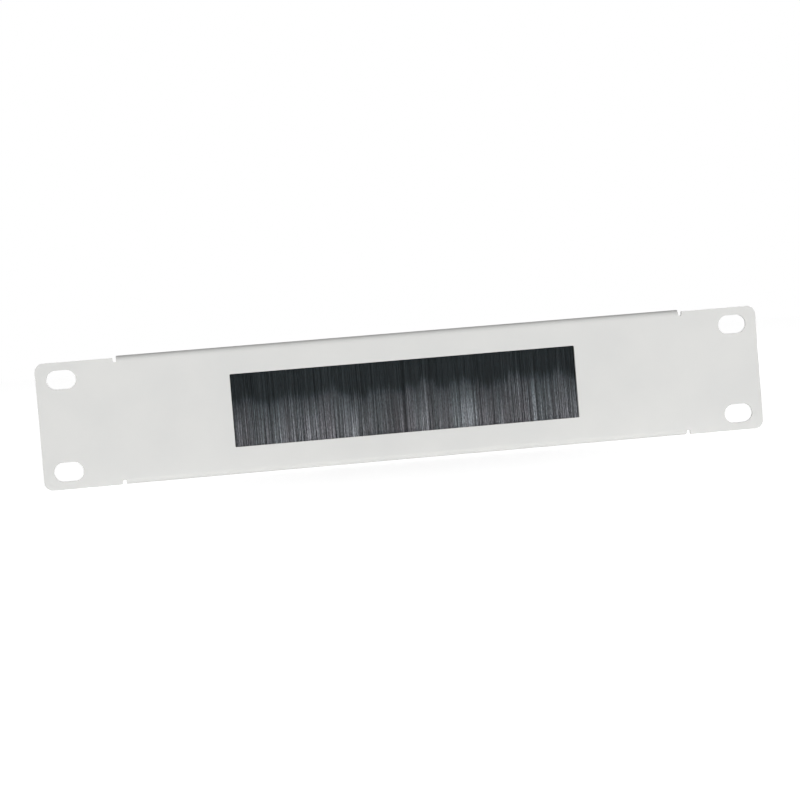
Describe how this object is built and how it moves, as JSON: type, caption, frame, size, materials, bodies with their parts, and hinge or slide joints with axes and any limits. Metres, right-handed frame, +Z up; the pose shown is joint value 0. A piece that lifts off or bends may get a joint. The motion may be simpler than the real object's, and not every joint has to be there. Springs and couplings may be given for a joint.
{
  "type": "rack brush cable panel",
  "caption": "Folded sheet panel for a 10-inch rack with slotted ears and a wide opening closed by hanging bristles, which let cables through and keep dust out.",
  "frame": {"origin": "centre of the four rack slots, on the rear face of the sheet that seats on the rack", "axes": "+X to the right seen from the front, +Y from the front of the panel to its rear, +Z up"},
  "size_m": [0.254, 0.015, 0.0444],
  "materials": {
    "powder_coat": "light grey powder coat, fine orange peel, satin",
    "black_nylon": "black nylon filaments with a soft gloss along their length",
    "galvanised_steel": "galvanised, dull, faint spangle",
    "mill_aluminium": "mill finish with fine lines along the extrusion",
    "zinc_plate": "bright zinc plate"
  },
  "bodies": {
    "root": {"front_panel": "powder_coat", "bristles": "black_nylon", "brush_channel": "galvanised_steel", "core_wire": "galvanised_steel", "brush_holder": "mill_aluminium", "weld_studs": "zinc_plate", "washers": "zinc_plate", "nuts": "zinc_plate"}
  },
  "joints": []
}
